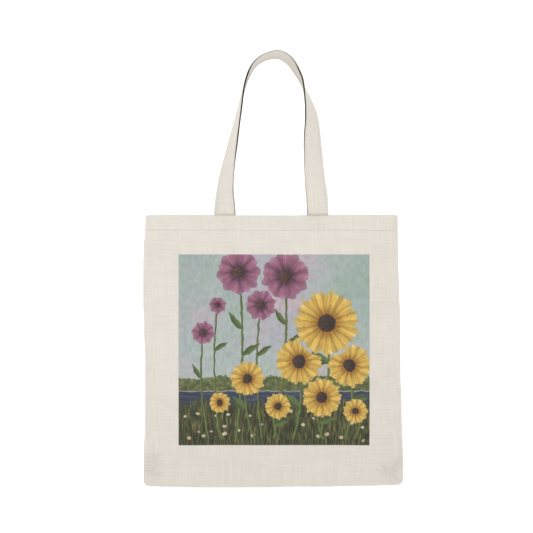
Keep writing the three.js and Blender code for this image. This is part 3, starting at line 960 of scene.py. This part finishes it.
# ------------------------------------------------------------------ the printed picture
# A meadow by the water with tall flowers. Places in it run from 0 to 1 to the right and upwards.
PICTURE_SIZE = 281.8 * MM
PICTURE_CENTRE = (MIDDLE_X + 3.0 * MM, MOUTH_Z - 198.9 * MM)


# The flower groups below pass places as separate numbers, so that a long chain of them stays cheap.
def blossom_group():
    """Paints one flower head over what is there: two rings of petals round a disc."""
    tree, w, given, made = node_group(
        "blossom",
        {"value": "Right, Up, Speckle, Middle right, Middle up, Radius, Petals, Turn",
         "colour": "Under, Petal, Petal shade, Petal tip, Disc"},
        {"colour": "Colour"},
    )
    x = w.minus(given["Right"], given["Middle right"])
    y = w.minus(given["Up"], given["Middle up"])
    reach = w.over(w.distance(x, y), given["Radius"])
    angle = w.plus(w.maths("ARCTAN2", y, x), given["Turn"])
    fine = w.maths("SINE", w.times_plus(angle, 43.0, w.times(reach, 3.0)))
    coarse = w.maths("SINE", w.times_plus(angle, 11.0, w.times(reach, -2.0)))
    fibres = w.times_plus(fine, 0.10, w.times(coarse, 0.12))
    fibres = w.times_plus(w.minus(given["Speckle"], 0.5), 0.5, fibres)
    colour = given["Under"]
    for lag, outer, depth in ((0.5, 1.0, 0.74), (0.0, 0.93, 1.0)):
        lobes = w.times(w.times_plus(angle, given["Petals"], lag * 2 * math.pi), 0.5)
        lobe = w.maths("POWER", w.maths("ABSOLUTE", w.maths("COSINE", lobes)), 0.55)
        edge = w.times_plus(lobe, 0.46 * outer, 0.54 * outer)
        edge = w.times_plus(coarse, 0.035, edge)
        inside = w.spread(w.minus(edge, reach), -0.012, 0.03)
        petal = w.mix(w.spread(reach, 0.28, 0.62), given["Petal shade"], given["Petal"])
        petal = w.mix(w.spread(reach, 0.66, 1.0, 0, 0.75), petal, given["Petal tip"])
        fold = w.spread(lobe, 0.25, 0.95, 0.60 * depth, 1.04 * depth)
        tone = w.times(fold, w.plus(fibres, 1.0))
        colour = w.mix(inside, colour, w.tint(petal, tone))
    disc = w.spread(given["Speckle"], 0.35, 0.65, 0.55, 1.9)
    disc = w.times(disc, w.spread(w.over(x, given["Radius"]), -0.2, 0.2, 1.3, 0.7))
    disc = w.tint(given["Disc"], disc)
    w.feed(made["Colour"], w.mix(w.spread(reach, 0.255, 0.30, 1, 0), colour, disc))
    return tree


def stem_group():
    """Paints one bowed stem over what is there, from its foot up to its head."""
    tree, w, given, made = node_group(
        "stem",
        {"value": "Right, Up, Foot right, Foot up, Head right, Head up, Bow, Width",
         "colour": "Under, Stem"},
        {"colour": "Colour"},
    )
    rise_here = w.minus(given["Up"], given["Foot up"])
    share = w.over(rise_here, w.minus(given["Head up"], given["Foot up"]))
    to_right = w.minus(given["Head right"], given["Foot right"])
    line = w.times_plus(share, to_right, given["Foot right"])
    hump = w.times(share, w.minus(1.0, share))
    line = w.times_plus(hump, given["Bow"], line)
    off = w.over(w.minus(given["Right"], line), given["Width"])
    inside = w.spread(w.maths("ABSOLUTE", off), 0.8, 1.1, 1, 0)
    within = w.times(w.spread(share, 0, 0.02), w.spread(share, 0.99, 1.0, 1, 0))
    lit = w.tint(given["Stem"], w.spread(off, -0.8, 0.8, 1.35, 0.55))
    w.feed(made["Colour"], w.mix(w.times(inside, within), given["Under"], lit))
    return tree


def leaf_group():
    """Paints one pointed leaf over what is there, out from its base at an angle."""
    tree, w, given, made = node_group(
        "leaf",
        {"value": "Right, Up, Base right, Base up, Angle, Length, Width", "colour": "Under, Leaf"},
        {"colour": "Colour"},
    )
    x = w.minus(given["Right"], given["Base right"])
    y = w.minus(given["Up"], given["Base up"])
    cosine, sine = w.maths("COSINE", given["Angle"]), w.maths("SINE", given["Angle"])
    along = w.times_plus(x, cosine, w.times(y, sine))
    beside = w.minus(w.times(y, cosine), w.times(x, sine))
    share = w.over(along, given["Length"])
    bowed = w.times_plus(w.times(share, share), given["Width"], beside)
    off = w.over(bowed, given["Width"])
    half = w.maths("POWER", w.maths("MAXIMUM", share, 0.0), 0.75)
    half = w.maths("SINE", w.times(half, math.pi))
    wide = w.maths("ABSOLUTE", off)
    inside = w.spread(w.minus(half, wide), 0, 0.12)
    within = w.times(w.spread(share, 0, 0.03), w.spread(share, 0.97, 1.0, 1, 0))
    veins = w.maths("SINE", w.times(w.minus(share, wide), 34.0))
    tone = w.times_plus(veins, 0.08, w.spread(off, -0.15, 0.15, 1.25, 0.75))
    tone = w.plus(tone, w.spread(wide, 0.0, 0.09, 0.35, 0))
    leaf = w.tint(given["Leaf"], tone)
    w.feed(made["Colour"], w.mix(w.times(inside, within), given["Under"], leaf))
    return tree


def meadow_scenery(w, place):
    """Sky, hedge, water and grass, as one colour."""
    u, v, _ = w.split(place)
    clouds = w.noise(place, (2.6, 4.2), 6.0, 0.55)
    sky = w.ramp(clouds, (0.34, seen(162, 180, 168)), (0.46, seen(172, 184, 180)),
                 (0.56, seen(182, 178, 186)), (0.66, seen(194, 178, 182)), (0.8, seen(206, 192, 188)))
    blue = w.noise(place, (3.7, 2.9), 4.0)
    sky = w.mix(w.spread(blue, 0.50, 0.68, 0, 0.6), sky, seen(160, 172, 184))
    sky = w.mix(w.spread(v, 0.72, 0.32, 0, 0.45), sky, seen(186, 194, 190))
    corner = w.times(w.spread(w.maths("ABSOLUTE", w.minus(u, 0.5)), 0.22, 0.5),
                     w.spread(v, 0.55, 0.95))
    sky = w.mix(w.times(corner, 0.6), sky, seen(156, 177, 166))
    bushes = w.noise(w.join(u, 0.3), (7, 1), 2.0)
    twigs = w.noise(place, (70, 50), 2.0)
    hedge_top = w.plus(w.spread(bushes, 0.2, 0.8, 0.335, 0.385, soft=False),
                        w.spread(twigs, 0.2, 0.8, -0.012, 0.012, soft=False))
    bush = w.ramp(w.noise(place, (34, 42), 4.0, 0.65), (0.30, seen(54, 68, 44)), (0.46, seen(88, 100, 58)),
                  (0.60, seen(120, 124, 80)), (0.74, seen(146, 146, 104)))
    bush = w.tint(bush, w.spread(v, 0.28, 0.36, 0.78, 1.1))
    colour = w.mix(w.spread(w.minus(hedge_top, v), -0.003, 0.004), sky, bush)
    ripples = w.noise(place, (9, 150), 3.0)
    water = w.ramp(ripples, (0.33, seen(38, 46, 66)), (0.5, seen(52, 62, 84)), (0.66, seen(80, 90, 108)))
    shore = w.times_plus(w.noise(place, (5, 1)), 0.006, 0.279)
    colour = w.mix(w.spread(w.minus(shore, v), -0.006, -0.004), colour, seen(158, 156, 142))
    colour = w.mix(w.spread(w.minus(shore, v), -0.001, 0.001), colour, water)
    lean = w.times(w.minus(w.noise(place, (5, 5)), 0.5), 0.5)
    blown = w.join(w.times_plus(v, lean, u), v)
    grass_top = w.spread(w.noise(blown, (95, 7), 2.0), 0.30, 0.72, 0.185, 0.262, soft=False)
    blades = w.noise(blown, (120, 15), 3.0, 0.6)
    grass = w.ramp(blades, (0.30, seen(20, 27, 21)), (0.44, seen(45, 52, 34)), (0.56, seen(88, 89, 47)),
                   (0.68, seen(134, 128, 74)), (0.8, seen(176, 168, 112)))
    grass = w.tint(grass, w.spread(w.noise(place, (4, 6)), 0.3, 0.7, 0.62, 1.15))
    return w.mix(w.spread(w.minus(grass_top, v), -0.003, 0.003), colour, grass)


def daisies(w, place, under):
    """Small white daisies scattered through the grass."""
    cells = w.node("TexVoronoi", {"Vector": place, "Scale": 15.0, "Randomness": 0.95},
                   voronoi_dimensions="2D")
    centre = cells.outputs["Position"]
    away = w.vector("SUBTRACT", place, centre)
    chance = w.split(cells.outputs["Color"])
    size = w.spread(chance[1], 0, 1, 0.008, 0.0155, soft=False)
    parts = w.split(w.vector("MULTIPLY", away, (1.0, 1.3, 1.0)))
    reach = w.over(w.length(w.join(parts[0], parts[1])), size)
    angle = w.maths("ARCTAN2", parts[1], parts[0])
    petals = w.times_plus(w.maths("COSINE", w.times(angle, 9.0)), 0.18, 0.8)
    flower = w.spread(w.minus(petals, reach), -0.05, 0.12)
    height = w.split(centre)[1]
    in_grass = w.times(w.spread(height, 0.195, 0.20, 1, 0), w.spread(height, 0.022, 0.025))
    grows = w.times(w.maths("GREATER_THAN", chance[0], 0.42), in_grass)
    petal = w.mix(chance[2], seen(226, 216, 196), seen(206, 188, 146))
    colour = w.mix(w.times(flower, grows), under, petal)
    heart = w.times(w.spread(reach, 0.22, 0.36, 1, 0), grows)
    return w.mix(heart, colour, seen(206, 168, 72))


# Flower heads as their middle (right, up), radius, number of petals and turn in radians, and how far to
# the right their stems start.
YELLOW_HEADS = [
    ((0.630, 0.440), 0.125, 17, 0.4, 0.60),
    ((0.895, 0.420), 0.118, 15, 1.2, 0.87),
    ((0.775, 0.640), 0.172, 19, 0.1, 0.74),
    ((0.750, 0.250), 0.105, 15, 0.9, 0.76),
    ((0.360, 0.350), 0.092, 14, 0.2, 0.40),
    ((0.520, 0.205), 0.070, 13, 0.7, 0.53),
    ((0.925, 0.180), 0.066, 13, 0.3, 0.92),
    ((0.215, 0.225), 0.056, 12, 0.5, 0.24),
]
PLUM_HEADS = [
    ((0.315, 0.905), 0.118, 8, 0.3, 0.30),
    ((0.560, 0.885), 0.128, 8, 0.9, 0.50),
    ((0.430, 0.735), 0.082, 8, 0.1, 0.44),
    ((0.130, 0.590), 0.062, 8, 0.6, 0.16),
    ((0.205, 0.735), 0.046, 7, 0.2, 0.22),
]
YELLOW_PAINT = {"Petal": seen(216, 176, 82), "Petal shade": seen(164, 114, 42),
                "Petal tip": seen(228, 198, 112), "Disc": seen(52, 38, 32)}
PLUM_PAINT = {"Petal": seen(152, 96, 122), "Petal shade": seen(92, 56, 78),
              "Petal tip": seen(180, 134, 158), "Disc": seen(70, 46, 44)}
# Leaves as (the number of its flower, share up its stem, angle in degrees, length, width).
LEAVES = [
    (0, 0.42, 152, 0.11, 0.026),
    (1, 0.52, 24, 0.09, 0.022),
    (2, 0.50, 20, 0.13, 0.030),
    (2, 0.66, 158, 0.11, 0.026),
    (3, 0.40, 28, 0.10, 0.022),
    (4, 0.50, 150, 0.10, 0.022),
    (5, 0.45, 26, 0.08, 0.018),
    (8, 0.50, 42, 0.12, 0.016),
    (8, 0.66, 134, 0.12, 0.017),
    (9, 0.56, 50, 0.12, 0.017),
    (9, 0.70, 132, 0.11, 0.016),
    (10, 0.62, 44, 0.10, 0.015),
    (11, 0.58, 130, 0.09, 0.013),
    (12, 0.66, 40, 0.09, 0.013),
]
STEM_FOOT = 0.03
STEM_BOW = 0.10


def stem_bow(head, foot):
    """Every stem bows a little, to the right where its head is to the right of its foot."""
    return STEM_BOW if foot < head else -STEM_BOW


def stem_point(flower, share):
    """A place on the stem of one of all the flowers, as its share of the way up."""
    (head, top), _, _, _, foot = flower
    bow = stem_bow(head, foot) * share * (1 - share)
    return foot + (head - foot) * share + bow, STEM_FOOT + (top - STEM_FOOT) * share


def nearest_head(w, place, heads):
    """Of the topmost head that covers a place: its middle and radius, and its petals and turn."""
    middle, style = (-5.0, -5.0, 0.01), (8.0, 0.0, 0.0)
    for (head, top), radius, petals, turn, _ in heads:
        away = w.node("VectorMath", {0: place, 1: (head, top, 0)}, operation="DISTANCE")
        covers = w.maths("LESS_THAN", away.outputs["Value"], 1.02 * radius)
        middle = w.mix_vector(covers, middle, (head, top, radius))
        style = w.mix_vector(covers, style, (petals, turn, 0))
    return w.split(middle), w.split(style)


def meadow_picture():
    """The whole print: its colour, and an ink mask that is 1 on the print and 0 off it."""
    tree, w, given, made = node_group(
        "meadow picture", {"vector": "Place"}, {"colour": "Colour", "value": "Ink"}
    )
    place = w.vector("SUBTRACT", given["Place"], (*PICTURE_CENTRE, 0.0))
    place = w.vector("DIVIDE", place, (PICTURE_SIZE, PICTURE_SIZE, 1.0))
    out = w.split(w.vector("ABSOLUTE", place))
    furthest = w.maths("MAXIMUM", out[0], out[1])
    frayed = w.times_plus(w.noise(place, (330, 330)), 0.004, furthest)
    ink = w.spread(frayed, 0.5005, 0.5035, 1, 0)
    place = w.vector("ADD", place, (0.5, 0.5, 0.0))
    brush = w.vector("SUBTRACT", w.noise(place, (38, 24), 3.0, output="Color"), (0.5, 0.5, 0.5))
    brushed = w.vector("ADD", place, w.vector("MULTIPLY", brush, (0.014, 0.018, 0.0)))
    colour = daisies(w, brushed, meadow_scenery(w, brushed))
    blossom, stem, leaf = blossom_group(), stem_group(), leaf_group()
    right, up, _ = w.split(brushed)
    spot = {"Right": right, "Up": up}
    for (head, top), radius, _, _, foot in YELLOW_HEADS + PLUM_HEADS:
        values = {"Under": colour, **spot, "Foot right": foot, "Foot up": STEM_FOOT, "Head right": head,
                  "Head up": top, "Bow": stem_bow(head, foot), "Width": 0.0035 + 0.025 * radius,
                  "Stem": seen(96, 112, 58)}
        colour = w.group(stem, values)["Colour"]
    for number, share, angle, length, width in LEAVES:
        base, height = stem_point((YELLOW_HEADS + PLUM_HEADS)[number], share)
        values = {"Under": colour, **spot, "Base right": base, "Base up": height,
                  "Angle": math.radians(angle), "Length": length, "Width": width, "Leaf": seen(82, 100, 54)}
        colour = w.group(leaf, values)["Colour"]
    speckle = w.noise(brushed, (150, 150), 1.0)
    for heads, paint in ((PLUM_HEADS, PLUM_PAINT), (YELLOW_HEADS, YELLOW_PAINT)):
        middle, style = nearest_head(w, brushed, heads)
        values = {"Under": colour, **spot, **paint, "Speckle": speckle, "Middle right": middle[0],
                  "Middle up": middle[1], "Radius": middle[2], "Petals": style[0], "Turn": style[1]}
        colour = w.group(blossom, values)["Colour"]
    strokes = w.noise(place, (44, 26), 4.0, 0.6)
    colour = w.tint(colour, w.spread(strokes, 0.25, 0.75, 0.84, 1.14, soft=False))
    w.feed(made["Colour"], colour)
    w.feed(made["Ink"], ink)
    return tree


# ------------------------------------------------------------------ the finishes
CLOTH_COLOUR = seen(227, 220, 210)
WHITE = (1, 1, 1, 1)
BAG_MIDDLE = (MIDDLE_X, 0, -0.35)


def new_material(name):
    material = bpy.data.materials.new(name)
    material.use_nodes = True
    tree = material.node_tree
    tree.nodes.clear()
    return material, Wiring(tree)


def cotton_surface(w, colour, height):
    """A dry, slightly fuzzy cotton surface."""
    bump = w.out("Bump", {"Height": height, "Strength": 1.0, "Distance": 1.0})
    surface = w.out("BsdfPrincipled", {"Base Color": colour, "Normal": bump, "Roughness": 0.92,
                                       "Specular IOR Level": 0.18, "Sheen Weight": 0.10,
                                       "Sheen Roughness": 0.6})
    w.node("OutputMaterial", {"Surface": surface})


def flat_place(w):
    """Where a point is on a panel, seen square on: X to the right and Z upwards."""
    here = w.split(w.coordinates())
    return w.join(here[0], here[2])


def panel_cloth(w, canvas, place):
    """The panels' weave at a place."""
    return w.group(canvas, {"Place": place, "Thread pitch": 0.78 * MM, "Cloth": CLOTH_COLOUR, "Slubs": 1.0,
                            "Flecks": 0.55})


def plain_canvas(canvas):
    material, w = new_material("natural canvas")
    cloth = panel_cloth(w, canvas, flat_place(w))
    cotton_surface(w, cloth["Colour"], cloth["Height"])
    return material


def strap_canvas(canvas):
    """The handles' canvas, woven along the strap, with painted shade in the gap of its open edge."""
    material, w = new_material("handle canvas")
    place = w.out("UVMap", {}, uv_map="cloth")
    cloth = w.group(canvas, {"Place": place, "Thread pitch": 0.74 * MM, "Cloth": CLOTH_COLOUR,
                             "Slubs": 0.8, "Flecks": 0.45})
    inside = w.node("Attribute", {}, attribute_name="inside fold").outputs["Fac"]
    # Painted shade: the gap's lining is mixed towards a near-black brown by that weight, in place of the
    # shadow inside the open edge.
    cotton_surface(w, w.mix(inside, cloth["Colour"], seen(36, 33, 31)), cloth["Height"])
    return material


def printed_canvas(canvas):
    """Natural canvas with the picture printed into its threads, on its outer face only."""
    material, w = new_material("printed canvas")
    place = flat_place(w)
    cloth = panel_cloth(w, canvas, place)
    picture = w.group(meadow_picture(), {"Place": place})
    clear_of_back = w.maths("LESS_THAN", w.split(w.coordinates())[1], -HEM_PLIES * PLY)
    soaked = w.spread(cloth["Threads"], 0.1, 0.9, 0.93, 1.0)
    ink = w.times(w.times(picture["Ink"], soaked), clear_of_back)
    inked = w.tint(picture["Colour"], w.spread(cloth["Threads"], 0.1, 0.9, 0.84, 1.02))
    outward = w.split(w.coordinates("Normal"))[1]
    ink = w.times(ink, w.maths("LESS_THAN", outward, 0.0))
    cotton_surface(w, w.mix(ink, cloth["Colour"], inked), cloth["Height"])
    return material


def cotton_thread(name, colour):
    """Two-ply sewing cotton: a fine slanting twist and a little fuzz."""
    material, w = new_material(name)
    place = w.coordinates()
    slant = w.out("Mapping", {"Vector": place, "Rotation": (0.3, 0.5, 0.8)})
    twist = w.node("TexWave", {"Vector": slant, "Scale": 520.0, "Distortion": 1.5,
                                         "Detail": 1.0}).outputs["Fac"]
    fuzz = w.noise(place, (1500, 1500), 2.0)
    shade = w.times_plus(fuzz, 0.10, w.times_plus(twist, 0.16, 0.86))
    height = w.times(w.plus(twist, fuzz), 0.03 * MM)
    cotton_surface(w, w.tint(colour, shade), height)
    return material


def studio_paper():
    """Near-white paper that shows only its front side, and glows more the further it is from the bag."""
    material, w = new_material("studio paper")
    place = w.coordinates()
    grain = w.noise(place, (60, 60), 2.0)
    colour = w.ramp(grain, (0.0, (0.86, 0.86, 0.86, 1)), (1.0, (0.88, 0.88, 0.88, 1)))
    paper = w.out("BsdfDiffuse", {"Color": colour})
    near, far, near_glow, far_glow = 0.5, 1.3, 0.24, 0.9
    from_bag = w.length(w.vector("SUBTRACT", place, BAG_MIDDLE))
    strength = w.spread(from_bag, near, far, near_glow, far_glow)
    glow = w.out("Emission", {"Color": WHITE, "Strength": strength})
    paper = w.out("AddShader", {0: paper, 1: glow})
    clear = w.out("BsdfTransparent", {})
    back = w.node("NewGeometry", {}).outputs["Backfacing"]
    w.node("OutputMaterial", {"Surface": w.out("MixShader", {0: back, 1: paper, 2: clear})})
    return material


# ------------------------------------------------------------------ the studio
def studio_sheet(name, corners, material):
    mesh = bpy.data.meshes.new(name)
    mesh.from_pydata(corners, [], [(0, 1, 2, 3)])
    mesh.materials.append(material)
    in_scene(name, mesh)


def soft_light(name, place, size, power):
    """A round soft light that faces the bag."""
    light = bpy.data.lights.new(name, "AREA")
    light.shape, light.size, light.energy = "DISK", size, power
    lamp = in_scene(name, light)
    lamp.location = place
    lamp.rotation_euler = (Vector(BAG_MIDDLE) - Vector(place)).to_track_quat("-Z", "Y").to_euler()


def studio():
    """A white wall and floor, a key light from the upper left and a fill light from either side."""
    paper = studio_paper()
    wall_y, floor_z, reach = 0.30, -0.80, 3.0
    foot = [(-reach, wall_y, floor_z), (reach, wall_y, floor_z)]
    studio_sheet("studio_wall", foot + [(reach, wall_y, reach), (-reach, wall_y, reach)], paper)
    studio_sheet("studio_floor", [(-reach, -reach, floor_z), (reach, -reach, floor_z)] + foot[::-1], paper)
    soft_light("key_light", (-0.5, -2.0, 1.6), 1.0, 31)
    soft_light("right_fill_light", (2.1, -1.7, 0.2), 1.6, 12.5)
    soft_light("left_fill_light", (-2.1, -1.7, 0.2), 1.6, 9.5)
    world = bpy.data.worlds.new("studio air")
    world.use_nodes = True
    world.node_tree.nodes.clear()
    w = Wiring(world.node_tree)
    seen_directly = w.node("LightPath", {}).outputs["Is Camera Ray"]
    room_light, more_when_seen = 0.41, 0.64
    strength = w.times_plus(seen_directly, more_when_seen, room_light)
    w.node("OutputWorld", {"Surface": w.out("Background", {"Color": WHITE, "Strength": strength})})
    bpy.context.scene.world = world
    bpy.context.scene.view_settings.view_transform = "Standard"


def hang_camera():
    """A long lens that looks at the front of the bag, square on."""
    lens, sensor_width, away = 113.7, 36, 2.5
    across, height = -0.0122, -0.3074
    camera = bpy.data.cameras.new("camera")
    camera.lens, camera.sensor_width = lens, sensor_width
    holder = in_scene("camera", camera)
    holder.location = (across, -away, height)
    holder.rotation_euler = (math.radians(90), 0, 0)
    bpy.context.scene.camera = holder


# ------------------------------------------------------------------ putting the bag together
FRONT_HALVES = (("left", -1, -1, 0), ("right", 1, 0, 1))  # each with its hand and its two ends across
STITCH = {"Pitch": STITCH_PITCH, "Stitch length": 2.5 * MM}


def follow_front_cloth(piece):
    """Bakes the front cloth's placement into its mesh, where it stays."""
    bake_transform(piece)


def make_cloth(drape, printed, plain):
    """The two panels; the front one is two halves that meet on the middle line."""
    for label, hand, first, last in FRONT_HALVES:
        half = cloth_panel(f"front_cloth_{label}", -1, first, last, printed, drape)
        follow_front_cloth(half)
        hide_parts("front_panel")
    back = cloth_panel("back_cloth", 1, -1, 1, plain, drape)
    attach(back, "bag_back")
    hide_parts("back_panel")


def make_handles(drape, handle_canvas, thread, stitches):
    """Both straps, the stitching along their edges, and the boxes sewn through their ends."""
    row_values = {**STITCH, "Thread thickness": 0.5 * MM, "Thread": thread}
    for face, side in (("front", -1), ("back", 1)):
        strap = make_strap(f"{face}_handle", side, handle_canvas)
        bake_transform(strap)
        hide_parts(f"{face}_handle_strap", f"{face}_left_handle_end", f"{face}_right_handle_end")
        for label, edge in (("outer", -1), ("inner", 1)):
            rows = sewn(f"{face}_{label}_edge_stitches", strap_rows(side, edge), stitches, row_values)
            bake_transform(rows)
            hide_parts(f"{face}_handle_{label}_edge_stitching")
        for label in ("left", "right"):
            end_low, end_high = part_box(f"{face}_{label}_handle_end")
            rows = box_rows(side, (end_low.x + end_high.x) / 2, drape)
            box = sewn(f"{face}_{label}_box_stitches", rows, stitches, row_values)
            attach(box, f"bag_{face}")
            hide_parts(f"{face}_{label}_box_stitching")


def make_hem_stitches(drape, thread, stitches):
    """The rows of stitches that hold the hems."""
    values = {**STITCH, "Thread thickness": 0.45 * MM, "Thread": thread}
    for label, hand, first, last in FRONT_HALVES:
        rows = sewn(f"front_hem_stitches_{label}", hem_rows(-1, first, last, drape), stitches, values)
        follow_front_cloth(rows)
        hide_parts("front_hem_stitching")
    rows = sewn("back_hem_stitches", hem_rows(1, -1, 1, drape), stitches, values)
    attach(rows, "bag_back")
    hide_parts("back_hem_stitching")


def make_seams(plain, thread, path_thread):
    """The turned-in cloth of the three seams and the thread looped over its edge."""
    for name, edge, inward, other in seam_lines():
        strip = make_allowance(name, edge, inward, other, plain)
        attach(strip, "bag_back")
        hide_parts(f"{name}_seam")
        path = [overlock_path(name, edge, inward, other)]
        values = {"Thread thickness": 0.4 * MM, "Thread": thread}
        threads = sewn(f"{name}_overlock_thread", path, path_thread, values)
        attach(threads, "bag_back")
        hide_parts(f"{name}_overlock")


def make_bag():
    hang_camera()
    studio()
    drape = simulated_drape()
    canvas = woven_canvas()
    plain = plain_canvas(canvas)
    handle_canvas = strap_canvas(canvas)
    thread = cotton_thread("sewing cotton", seen(224, 216, 204))
    stitches, path_thread = stitches_tree(), thread_tree()
    make_cloth(drape, printed_canvas(canvas), plain)
    make_handles(drape, handle_canvas, thread, stitches)
    make_hem_stitches(drape, thread, stitches)
    make_seams(plain, thread, path_thread)


make_bag()
